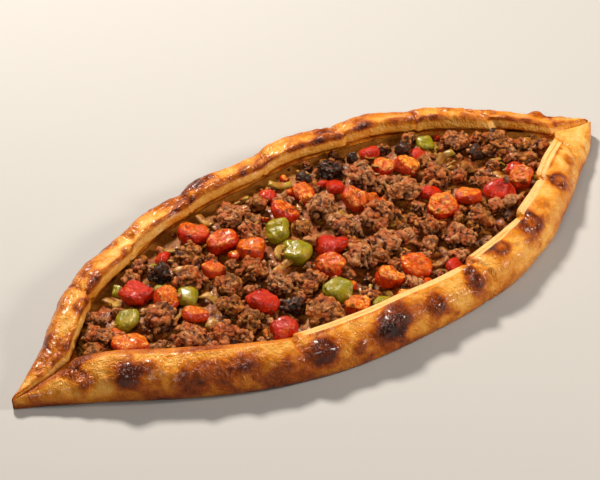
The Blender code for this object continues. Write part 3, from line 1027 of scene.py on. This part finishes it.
def filling_material(settings, toppings):
    finish = Finish("juicy filling")
    bare = finish.painted("bare")
    crease = finish.painted("crease")
    clouds = finish.noise(0.009, 3.0, 0.6)
    spots = finish.noise(0.0035, 4.0, 0.6)
    grain = finish.noise(0.0011, 3.0, 0.6)
    stew = finish.ramp((spots * 1.3 - 0.15).clamped(), (
        (0.16, toppings.meat_dark), (0.36, toppings.meat), (0.52, settings.juice), (0.68, settings.onion),
        (0.86, tint(settings.onion, (0.8, 0.66, 0.36), 0.5)),
    ))
    oily = finish.mixed(clouds.over(0.50, 0.66) * 0.55, stew, (0.42, 0.075, 0.012))
    soaked = finish.mixed(spots.over(0.45, 0.75) * 0.6, settings.greasy_dough, settings.juice)
    colour = finish.mixed((bare + (grain - 0.5) * 0.6).over(0.3, 0.7), oily, soaked)
    # painted shade: the filling darkens in its hollows
    deep = finish.mixed((crease * 0.45).clamped(), colour, tint(settings.juice, BLACK, 0.8))
    under = finish.bump(spots, 0.0012, 0.6)
    return finish.done(
        Base_Color=deep, Roughness=0.18 + grain * 0.35, Coat_Weight=clouds.over(0.35, 0.6) * 0.2,
        Coat_Roughness=0.10, Coat_IOR=1.35, Normal=finish.bump(grain, 0.0009, 0.7, under),
        Specular_IOR_Level=0.20,
    )


class PIDE_OT_filling(bpy.types.Operator):
    """Spreads the filling's uneven, juicy bed between the flaps"""

    bl_idname = "pide.filling"
    bl_label = "Spread filling"
    bl_options = {"REGISTER", "UNDO"}

    def execute(self, context):
        settings = context.scene.pide_filling
        x = np.linspace(BED_LEFT, BED_RIGHT, settings.columns)
        near, far = opening(x)
        share = np.linspace(0, 1, settings.rows)
        y = mix((near + BED_GAP)[:, None], (far - BED_GAP)[:, None], share[None, :])
        points = np.stack([np.broadcast_to(x[:, None], y.shape), y], -1)
        height, bare = filling_top(points, settings)
        # each cross-section runs over the top and back along the dough's floor
        foot = np.maximum(floor_height(NEAR, x), floor_height(FAR, x)) + BED_GAP
        near_foot, far_foot = (np.stack([x, y[:, k], foot], -1)[:, None] for k in (0, -1))
        top = np.concatenate([points, height[..., None]], -1)
        loop = np.concatenate([near_foot, top, far_foot, near_foot], axis=1)
        # crease paint of the bed: painted shade in its hollows, from how far it lies below the bed's top
        depth = np.clip((BED_TOP + 0.0002 - height) / settings.lumps * 2.0, -1.0, 1.5)
        paint = {
            key: np.concatenate([values[:, :1], values, values[:, -1:], values[:, :1]], axis=1)
            for key, values in (("bare", bare), ("crease", depth))
        }
        piece = bent_grid("juicy_filling", loop, paint)
        piece.data.materials.append(filling_material(settings, context.scene.pide_toppings))
        settle(piece, ["filling_bed"])
        return {"FINISHED"}


# ---------------------------------------------------------------------------------------------
# Toppings


def meat_material(toppings):
    finish = Finish("browned minced meat")
    crease = finish.painted("crease")
    tone = finish.painted("tone")
    grains = finish.noise(0.0022, 3.0, 0.6)
    fine = finish.noise(0.0008, 3.0, 0.65)
    clouds = finish.noise(0.007, 2.0, 0.5)
    # paler grains and lumps, with painted light on the crests and painted shade in the creases
    lit = (grains.over(0.42, 0.60) * 0.85 + (tone - 0.42) * 0.70 - crease * 0.45).clamped()
    body = finish.mixed(lit, toppings.meat, toppings.meat_pale_and_lit)
    body = finish.mixed(tone.over(0.50, 0.85) * grains.over(0.38, 0.58) * 0.75, body, (0.50, 0.25, 0.105))
    share = (0.5 - tone).over(0.1, 0.5) * fine.over(0.40, 0.60) * 0.6
    golden = finish.mixed(share, body, (0.46, 0.20, 0.020))
    stained = finish.mixed(clouds.over(0.50, 0.62) * 0.6, golden, (0.42, 0.060, 0.006))
    burnt = ((grains * 0.5 + fine * 0.5).over(0.42, 0.34) * 0.7 + clouds.over(0.43, 0.34) * 0.5).clamped()
    seared = finish.mixed(burnt, stained, toppings.meat_dark)
    # painted shade: creases and the low part of each piece go to the dark meat colour
    colour = finish.mixed((crease * 1.25).clamped(), seared, toppings.meat_dark)
    under = finish.bump(grains, 0.0010, 0.6)
    return finish.done(
        Base_Color=colour, Roughness=0.30 - grains.over(0.45, 0.62) * 0.12,
        Coat_Weight=grains.over(0.44, 0.62) * 0.12, Coat_Roughness=0.12, Coat_IOR=1.38,
        Normal=finish.bump(fine, 0.0010, 0.9, under), Specular_IOR_Level=0.17,
    )


def tomato_material(name, skin, flesh, toppings):
    finish = Finish(name)
    peel = finish.painted("skin")
    crease = finish.painted("crease")
    tone = finish.painted("tone")
    fibres = finish.noise(0.0023, 4.0, 0.62, distortion=0.8)
    fine = finish.noise(0.0009, 3.0, 0.6)
    clouds = finish.noise(0.006, 2.0, 0.5)
    pulp = finish.ramp(((fibres - 0.5) * 1.8 + 0.52 + (tone - 0.5) * 0.25).clamped(), (
        (0.26, tint(flesh, skin, 0.8)), (0.46, flesh),
        (0.62, tint(flesh, (0.84, 0.26, 0.02), 0.6)), (0.80, (0.84, 0.36, 0.05)),
    ))
    peeled = finish.mixed((peel + (fibres - 0.5) * 0.9).over(0.40, 0.75), pulp, skin)
    # painted shade in the dice's hollows
    deep = finish.mixed((crease * 0.6).clamped(), peeled, tint(skin, BLACK, 0.7))
    flecks = (finish.noise(0.0013, 2.0, 0.5).over(0.63, 0.70) * 0.9 + clouds.over(0.62, 0.74) * 0.7).clamped()
    colour = finish.mixed(flecks, deep, tint(toppings.charred, (0.12, 0.02, 0.01), 0.5))
    under = finish.bump(fibres, 0.0016, 0.8)
    return finish.done(
        Base_Color=colour, Roughness=0.10 + fine * 0.12, Coat_Weight=0.22, Coat_Roughness=0.06, Coat_IOR=1.38,
        Normal=finish.bump(fine, 0.0005, 0.6, under), Specular_IOR_Level=0.20,
    )


def pepper_material(toppings):
    finish = Finish("cooked green pepper")
    peel = finish.painted("skin")
    tone = finish.painted("tone")
    fibres = finish.noise(0.003, 3.0, 0.6)
    fine = finish.noise(0.0010, 3.0, 0.6)
    flesh = tint(toppings.green, (0.46, 0.30, 0.020), 0.65)
    body = finish.mixed((peel + (fibres - 0.5) * 0.8).over(0.45, 0.95), flesh, toppings.green)
    warm = finish.mixed((fibres.over(0.52, 0.70) * 0.6 + tone * 0.2).clamped(), body, (0.36, 0.19, 0.018))
    flecks = (fine.over(0.68, 0.74) * 0.6 + fibres.over(0.36, 0.28) * 0.6).clamped()
    colour = finish.mixed(flecks, warm, (0.050, 0.036, 0.006))
    return finish.done(
        Base_Color=colour, Roughness=0.12 + fine * 0.12, Coat_Weight=0.22, Coat_Roughness=0.06, Coat_IOR=1.38,
        Normal=finish.bump(fine, 0.0005, 0.6, finish.bump(fibres, 0.0012, 0.6)), Specular_IOR_Level=0.20,
    )


def charred_material(toppings):
    finish = Finish("charred bits")
    crease = finish.painted("crease")
    grains = finish.noise(0.002, 3.0, 0.6)
    burnt = finish.mixed(grains.over(0.46, 0.66), toppings.charred, tint(toppings.meat, BLACK, 0.3))
    # painted shade: the hollows go almost black
    colour = finish.mixed((crease * 0.8).clamped(), burnt, (0.006, 0.003, 0.002))
    return finish.done(
        Base_Color=colour, Roughness=0.35 + grains * 0.35, Coat_Weight=0.25, Coat_Roughness=0.15,
        Coat_IOR=1.35, Normal=finish.bump(grains, 0.0010, 0.8), Specular_IOR_Level=0.15,
    )


def onion_material(settings):
    finish = Finish("cooked onion")
    tone = finish.painted("tone")
    crease = finish.painted("crease")
    fibres = finish.noise(0.0018, 3.0, 0.6)
    shade = finish.ramp(tone, (
        (0.0, settings.juice), (0.35, settings.onion), (0.60, (0.30, 0.19, 0.014)),
        (0.85, (0.52, 0.29, 0.050)),
    ))
    pale = finish.mixed(fibres.over(0.50, 0.72) * 0.5, shade, (0.58, 0.33, 0.07))
    # juice patches, and painted shade in the hollows, both towards the juice's colour
    soaked = (finish.noise(0.004).over(0.42, 0.60) * 0.7 + crease * 0.4).clamped()
    return finish.done(
        Base_Color=finish.mixed(soaked, pale, settings.juice), Roughness=0.22 + fibres * 0.2,
        Coat_Weight=0.2, Coat_Roughness=0.08, Coat_IOR=1.35, Normal=finish.bump(fibres, 0.0008, 0.6),
        Specular_IOR_Level=0.22,
    )


def herb_material():
    finish = Finish("herbs and pepper flecks")
    colour = finish.ramp(finish.painted("tone"), (
        (0.0, (0.014, 0.006, 0.002)), (0.5, (0.050, 0.026, 0.006)), (0.9, (0.075, 0.080, 0.008)),
    ))
    return finish.done(Base_Color=colour, Roughness=0.6, Specular_IOR_Level=0.15)


def nodes_of(kind):
    return sorted(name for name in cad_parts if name.startswith(kind))


def seated(form, node, dice, sink=0.0022, spread=1.10):
    """A form turned at random, stretched to a node's box and pressed a little into the filling, with painted
    shade on its lower part.
    """
    low, high = (np.array(corner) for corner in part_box(node))
    middle, half = (low + high) / 2, (high - low) / 2 * (spread, spread, 1.0)
    low, high = middle - half, middle + half
    low[2] -= sink
    piece = fitted(turned(form, dice.uniform(0, math.tau), tuple(dice.uniform(-0.4, 0.4, 2))), low, high)
    # painted shade: the lower part of the piece, down in the filling, is darkened through the crease paint
    darkest_below, unshaded_above = low[2] + 0.003, low[2] + 0.45 * (high[2] - low[2]) + 0.003
    soaked = 1.0 - smoothstep(darkest_below, unshaded_above, piece.corners[:, 2])
    piece.paint["crease"] = piece.paint["crease"] + 0.85 * soaked
    return piece


class PIDE_OT_meat(bpy.types.Operator):
    """Lays the lumps of minced meat"""

    bl_idname = "pide.meat"
    bl_label = "Lay meat"
    bl_options = {"REGISTER", "UNDO"}

    def execute(self, context):
        dice = np.random.default_rng(101)
        material = meat_material(context.scene.pide_toppings)
        kinds = [craggy_chunk(dice, 5, 26, 0.070) for _ in range(9)]
        for number, node in enumerate(nodes_of("meat")):
            form = seated(kinds[number % len(kinds)], node, dice)
            form.paint["tone"] = np.full(len(form.corners), dice.uniform())
            built(f"lump_of_{node}", [form], material, [node])
        return {"FINISHED"}


class PIDE_OT_tomato(bpy.types.Operator):
    """Lays the red and the orange tomato dice"""

    bl_idname = "pide.tomato"
    bl_label = "Lay tomato"
    bl_options = {"REGISTER", "UNDO"}

    def execute(self, context):
        dice = np.random.default_rng(202)
        toppings = context.scene.pide_toppings
        red, orange = toppings.red, toppings.orange
        for slot, skin, flesh in (
            ("red_tomato", red, tint(red, orange, 0.8)), ("orange_tomato", tint(orange, red, 0.8), orange),
        ):
            material = tomato_material(slot.replace("_", " "), skin, flesh, toppings)
            for node in nodes_of(slot):
                cut_top = slot != "red_tomato" or dice.uniform() < 0.6
                form = soft_dice(dice, 0.74, 0.62, 0.085, 0.34, cut_top)
                built(f"dice_of_{node}", [seated(form, node, dice)], material, [node])
        return {"FINISHED"}


class PIDE_OT_pepper(bpy.types.Operator):
    """Lays the pieces of green pepper"""

    bl_idname = "pide.pepper"
    bl_label = "Lay pepper"
    bl_options = {"REGISTER", "UNDO"}

    def execute(self, context):
        dice = np.random.default_rng(303)
        material = pepper_material(context.scene.pide_toppings)
        for node in nodes_of("green_pepper"):
            form = soft_dice(dice, 0.62, 0.62, 0.070, 0.25, cut_top=False)
            built(f"piece_of_{node}", [seated(form, node, dice)], material, [node])
        return {"FINISHED"}


class PIDE_OT_charred(bpy.types.Operator):
    """Lays the charred lumps"""

    bl_idname = "pide.charred"
    bl_label = "Lay charred bits"
    bl_options = {"REGISTER", "UNDO"}

    def execute(self, context):
        dice = np.random.default_rng(404)
        material = charred_material(context.scene.pide_toppings)
        for node in nodes_of("charred_bit"):
            form = craggy_chunk(dice, 4, 18, 0.085, crag=0.16)
            built(f"lump_of_{node}", [seated(form, node, dice)], material, [node])
        return {"FINISHED"}


# ---------------------------------------------------------------------------------------------
# Smaller pieces between the toppings

# As seen from above, 8 by 7.5 mm a cell: m meat, t red and o orange tomato, g pepper, d charred
SMALL = (
    "...................m........t............",
    "......................t.......d..........",
    "........................t................",
    ".........................................",
    ".............o......m....................",
    "..........g.......................d......",
    "..mm....................m......m...m.....",
    "..........o.............m...........m....",
    "................................m........",
    "........................m................",
    "......................m........mm........",
    "...........m.............................",
    ".......................m.................",
    "...............m.........................",
)
LETTERS = {"m": "meat", "t": "red", "o": "orange", "g": "green", "d": "charred"}
SMALL_LEFT, SMALL_BACK, SMALL_X, SMALL_Y = -0.160, 0.045, 0.0080, 0.0075
STREWN_HALF_WIDTH = 0.065  # pieces are tried no farther from the length axis
CRUMB_RADIUS = 0.0032  # meat below this size is a crumb
LOW_GROUND = BED_TOP + 0.0065
HIGHEST = MODEL_BOX[1][2] + 0.0003


class Ground:
    """Heights of what lies in the bread so far, on a fine grid seen from above."""

    step = 0.0006
    right, back = 0.17, 0.08

    def __init__(self, settings):
        self.x = np.arange(-self.right, self.right, self.step)
        self.y = np.arange(-self.back, self.back, self.step)
        grid = np.stack(np.meshgrid(self.x, self.y, indexing="ij"), -1)
        self.height = filling_top(grid, settings)[0]

    def cell(self, corners):
        i = np.clip(((corners[:, 0] + self.right) / self.step).astype(int), 0, len(self.x) - 1)
        j = np.clip(((corners[:, 1] + self.back) / self.step).astype(int), 0, len(self.y) - 1)
        return i, j

    def heap(self, corners):
        np.maximum.at(self.height, self.cell(corners), corners[:, 2])

    def under(self, x, y, radius, share=0.5):
        """Height on which something of that radius rests: between the mean and the top of what lies below."""
        reach = max(int(radius / self.step * 0.7), 1)
        i, j = (int(k[0]) for k in self.cell(np.array([[x, y, 0.0]])))
        patch = self.height[max(i - reach, 0): i + reach + 1, max(j - reach, 0): j + reach + 1]
        return mix(float(patch.mean()), float(patch.max()), share)


def room(x, y, radius):
    """How far a piece at (x, y) stays clear of the lips, below 0 if it would touch them."""
    near, far = (half_width(side, x) - (LIP - 0.0012) / outline_cosine(side, x) for side in (NEAR, FAR))
    return min(y - (-near - MIDDLE), far - MIDDLE - y) - radius * 0.9


class Places:
    """Where pieces lie, so that the next ones find the gaps."""

    def __init__(self):
        self.taken = np.empty((0, 3))

    def add(self, x, y, radius):
        self.taken = np.vstack([self.taken, (x, y, radius)])

    def clearance(self, x, y, radius):
        """Least distance to a neighbour as a share of the two radii."""
        apart = np.hypot(self.taken[:, 0] - x, self.taken[:, 1] - y)
        return float(np.min(apart / (self.taken[:, 2] + radius)))

    def eased(self, x, y, radius, least, rounds=60):
        """A place near (x, y), pushed off neighbours that are closer than that share of both radii."""
        for _ in range(rounds):
            away = np.array((x, y)) - self.taken[:, :2]
            apart = np.linalg.norm(away, axis=1)
            short = (self.taken[:, 2] + radius) * least - apart
            worst = int(np.argmax(short))
            if short[worst] <= 0:
                break
            x, y = np.array((x, y)) + away[worst] / max(apart[worst], 1e-6) * short[worst] * 0.6
        return float(x), float(y)


class PIDE_OT_crumbs(bpy.types.Operator):
    """Fills the gaps with smaller meat, tomato, pepper, onion and charred bits, and strews herbs on top"""

    bl_idname = "pide.crumbs"
    bl_label = "Fill gaps and strew herbs"
    bl_options = {"REGISTER", "UNDO"}

    def execute(self, context):
        settings = context.scene.pide_filling
        dice = np.random.default_rng(505)
        ground = Ground(settings)
        places = Places()
        for kind in ("meat", "red_tomato", "orange_tomato", "green_pepper", "charred_bit"):
            for node in nodes_of(kind):
                low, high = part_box(node)
                wide = high[0] - low[0] + high[1] - low[1]
                places.add((low[0] + high[0]) / 2, (low[1] + high[1]) / 2, wide / 4)
        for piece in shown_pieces():
            if "_of_" in piece.name:
                ground.heap(corners_of(piece.data))

        forms = {
            "meat": [craggy_chunk(dice, 4, 12, 0.13) for _ in range(7)],
            "crumb": [craggy_chunk(dice, 3, 5, 0.22, faces=80) for _ in range(8)],
            "red": [soft_dice(dice, 0.75, 0.5, 0.05, 0.15, cut_top=k % 2 > 0, faces=600) for k in range(4)],
            "orange": [soft_dice(dice, 0.75, 0.5, 0.05, 0.15, faces=600) for _ in range(4)],
            "green": [soft_dice(dice, 0.60, 0.55, 0.05, 0.1, cut_top=False, faces=600) for _ in range(3)],
            "onion": [
                *(strip_bit(dice, bend) for bend in (0.1, 0.3, 0.5)),
                craggy_chunk(dice, 4, 3, 0.2, faces=90),
            ],
            "onion_strip": [strip_bit(dice, bend) for bend in (0.2, 0.5, 0.7, 0.1)],
            "charred": [craggy_chunk(dice, 3, 6, 0.2) for _ in range(3)],
            "char_strip": [strip_bit(dice, bend) for bend in (0.6, 0.9, 0.3)],
            "grain": [grain_bit(dice) for _ in range(6)],
            "fleck": [grain_bit(dice, 1) for _ in range(4)],
        }
        heaps = {key: [] for key in forms}

        def lay(kind, x, y, radius, sink=0.45, flat=1.0, share=0.35):
            choice = forms[kind][dice.integers(len(forms[kind]))]
            rest = ground.under(x, y, radius, share)
            form = turned(choice, dice.uniform(0, math.tau), tuple(dice.uniform(-0.5, 0.5, 2)))
            form.corners = form.corners * (1.0, 1.0, flat)
            form = moved(form, radius, (x, y, rest + radius * flat * (0.9 - sink)))
            form.corners[:, 2] -= max(form.corners[:, 2].max() - HIGHEST, 0.0)
            form.paint["tone"] = np.full(len(form.corners), dice.uniform())
            # painted shade: low down between the pieces, each piece darkens through the crease paint
            low = 1.0 - smoothstep(BED_TOP + 0.0005, BED_TOP + 0.0060, form.corners[:, 2])
            form.paint["crease"] = form.paint["crease"] + 0.80 * low
            heaps[kind].append(form)
            ground.heap(form.corners)

        # the small pieces of the plan
        for row, line in enumerate(SMALL):
            for column, letter in enumerate(line):
                if letter not in LETTERS:
                    continue
                x = SMALL_LEFT + (column + dice.uniform(-0.2, 0.2)) * SMALL_X
                y = SMALL_BACK - (row + dice.uniform(-0.2, 0.2)) * SMALL_Y - MIDDLE
                radius = dice.uniform(0.0050, 0.0060)
                x, y = places.eased(x, y, radius, 0.78)
                if room(x, y, radius) > 0:
                    places.add(x, y, radius)
                    lay(LETTERS[letter], x, y, radius, sink=0.25, flat=0.85, share=0.0)

        # ever smaller pieces in the gaps that are left
        mixture = ("meat",) * 11 + ("red",) * 2 + ("orange", "green") + ("onion",) * 6 + ("charred",)
        for low, high, tries, least in (
            (0.0046, 0.0060, 1100, 0.84), (0.0032, 0.0044, 2200, 0.88), (0.0019, 0.0030, 2600, 0.92),
        ):
            for _ in range(tries):
                x, y = dice.uniform(BED_LEFT, BED_RIGHT), dice.uniform(-STREWN_HALF_WIDTH, STREWN_HALF_WIDTH)
                radius = dice.uniform(low, high)
                if room(x, y, radius) < 0 or places.clearance(x, y, radius) < least:
                    continue
                soaked = filling_top(np.array([[x, y]]), settings)[1][0]
                if dice.uniform() < soaked * 0.85:
                    continue
                kind = mixture[dice.integers(len(mixture))]
                if radius < CRUMB_RADIUS and kind == "meat":
                    kind = "crumb"
                places.add(x, y, radius)
                lay(kind, x, y, radius, sink=0.45, flat=0.70 if kind == "onion" else 0.85, share=0.0)

        # crumbs, onion strips and grains on low ground, and charred strips and flecks anywhere
        for count, kind, low, high, sink, flat, share in (
            (settings.crumbs, "crumb", 0.0011, 0.0021, 0.45, 1.0, 0.0),
            (90, "onion_strip", 0.0016, 0.0030, 0.45, 0.7, 0.1),
            (16, "char_strip", 0.0016, 0.0028, 0.3, 0.6, 0.4),
            (200, "grain", 0.0005, 0.0010, 0.3, 1.0, 0.3),
            (settings.herbs, "fleck", 0.00035, 0.00075, 0.1, 0.45, 0.5),
        ):
            for _ in range(count):
                x, y = dice.uniform(BED_LEFT, BED_RIGHT), dice.uniform(-STREWN_HALF_WIDTH, STREWN_HALF_WIDTH)
                radius = dice.uniform(low, high)
                if room(x, y, radius) < 0:
                    continue
                soaked = filling_top(np.array([[x, y]]), settings)[1][0]
                if dice.uniform() < soaked * 0.7:
                    continue
                if kind not in ("fleck", "char_strip") and ground.under(x, y, radius) > LOW_GROUND:
                    continue
                lay(kind, x, y, radius, sink, flat, share)

        onion_material(settings)
        herb_material()
        for name, kinds, material, slot in (
            ("meat_bits", ("meat",), "browned minced meat", "meat"),
            ("meat_crumbs", ("crumb", "grain"), "browned minced meat", "meat"),
            ("red_tomato_bits", ("red",), "red tomato", "red_tomato"),
            ("orange_tomato_bits", ("orange",), "orange tomato", "orange_tomato"),
            ("pepper_bits", ("green",), "cooked green pepper", "green_pepper"),
            ("onion_bits", ("onion", "onion_strip"), "cooked onion", "filling_bed"),
            ("charred_flecks", ("charred", "char_strip"), "charred bits", "charred_bit"),
            ("herb_flecks", ("fleck",), "herbs and pepper flecks", "charred_bit"),
        ):
            heap = [form for kind in kinds for form in heaps[kind]]
            if heap:
                built(name, heap, bpy.data.materials[material])
        return {"FINISHED"}


# ---------------------------------------------------------------------------------------------
# Stage

FLOOR_Z = -0.0003  # just below the bread, so that the two don't lie in one plane
CAMERA_SHIFT = (-0.035, 0.033)


def lamp(name, place, target, size, power, colour):
    start()
    bpy.ops.object.light_add(type="AREA", location=place)
    light = bpy.context.object
    light.name = name
    light.data.shape = "DISK"
    light.data.size = size
    light.data.energy = power
    light.data.color = colour
    light.rotation_euler = (Vector(target) - Vector(place)).to_track_quat("-Z", "Y").to_euler()


class PIDE_OT_stage(bpy.types.Operator):
    """Puts up the pale floor, the soft lights and the camera"""

    bl_idname = "pide.stage"
    bl_label = "Set stage"
    bl_options = {"REGISTER", "UNDO"}

    def execute(self, context):
        settings = context.scene.pide_stage
        start()
        bpy.ops.mesh.primitive_plane_add(size=6.0, location=(0, 0, FLOOR_Z))
        floor = context.object
        floor.name = "floor"
        floor.data.materials.append(Finish("pale floor").done(Base_Color=rgba(settings.floor), Roughness=0.8))
        floor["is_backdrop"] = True

        azimuth, elevation = settings.azimuth, settings.elevation
        out = math.cos(elevation)
        back = Vector((math.sin(azimuth) * out, -math.cos(azimuth) * out, math.sin(elevation)))
        right = Vector((math.cos(azimuth), math.sin(azimuth), 0.0))
        ahead = Vector((-math.sin(azimuth), math.cos(azimuth), 0.0))
        warm, even = (1.0, 0.91, 0.80), (1.0, 0.95, 0.89)
        key = ahead * 0.70 - right * 0.35 + Vector((0, 0, 0.85))
        lamp("key light", key, (0, 0, 0), 0.22, settings.key_power, warm)
        side = right * 0.88 - ahead * 0.10 + Vector((0, 0, 0.52))
        lamp("side light", side, (0.03, 0, 0), 0.26, settings.side_power, warm)
        fill = -ahead * 0.85 - right * 0.25 + Vector((0, 0, 0.80))
        lamp("fill light", fill, (0, 0, 0), 0.34, settings.fill_power, even)

        world = bpy.data.worlds.new("studio")
        context.scene.world = world
        world.use_nodes = True
        world.node_tree.nodes["Background"].inputs[0].default_value = (1.0, 0.98, 0.95, 1.0)
        world.node_tree.nodes["Background"].inputs[1].default_value = settings.sky

        camera = bpy.data.cameras.new("camera")
        camera.lens = settings.lens
        camera.sensor_width = 36.0
        camera.shift_x, camera.shift_y = CAMERA_SHIFT
        holder = bpy.data.objects.new("camera", camera)
        context.scene.collection.objects.link(holder)
        holder.location = back * settings.distance
        holder.rotation_euler = (-back).to_track_quat("-Z", "Y").to_euler()
        context.scene.camera = holder
        context.scene.view_settings.view_transform = "Standard"
        return {"FINISHED"}


class PIDE_PT_panel(bpy.types.Panel):
    """Lists the steps that make the bread"""

    bl_idname = "PIDE_PT_panel"
    bl_label = "Turkish Pide"
    bl_space_type = "VIEW_3D"
    bl_region_type = "UI"
    bl_category = "Pide"

    def draw(self, context):
        for group, operators in PANEL_ROWS:
            box = self.layout.box()
            settings = getattr(context.scene, group)
            for name in settings.bl_rna.properties.keys():
                if name not in ("rna_type", "name"):
                    box.prop(settings, name)
            for operator in operators:
                box.operator(operator.bl_idname)


PANEL_ROWS = (
    ("pide_crust", (PIDE_OT_crust,)),
    ("pide_toppings", (PIDE_OT_meat, PIDE_OT_tomato, PIDE_OT_pepper, PIDE_OT_charred)),
    ("pide_filling", (PIDE_OT_filling, PIDE_OT_crumbs)),
    ("pide_stage", (PIDE_OT_stage,)),
)
GROUPS = (
    ("pide_crust", CrustSettings), ("pide_filling", FillingSettings), ("pide_toppings", ToppingSettings),
    ("pide_stage", StageSettings),
)
OPERATORS = [operator for group, operators in PANEL_ROWS for operator in operators]


def register():
    for name, group in GROUPS:
        bpy.utils.register_class(group)
        setattr(bpy.types.Scene, name, PointerProperty(type=group))
    for made in (*OPERATORS, PIDE_PT_panel):
        bpy.utils.register_class(made)


def unregister():
    for made in reversed((*OPERATORS, PIDE_PT_panel)):
        bpy.utils.unregister_class(made)
    for name, group in reversed(GROUPS):
        delattr(bpy.types.Scene, name)
        bpy.utils.unregister_class(group)


def main():
    register()
    bpy.ops.pide.crust()
    bpy.ops.pide.filling()
    bpy.ops.pide.meat()
    bpy.ops.pide.tomato()
    bpy.ops.pide.pepper()
    bpy.ops.pide.charred()
    bpy.ops.pide.crumbs()
    bpy.ops.pide.stage()


if __name__ == "__main__":
    main()
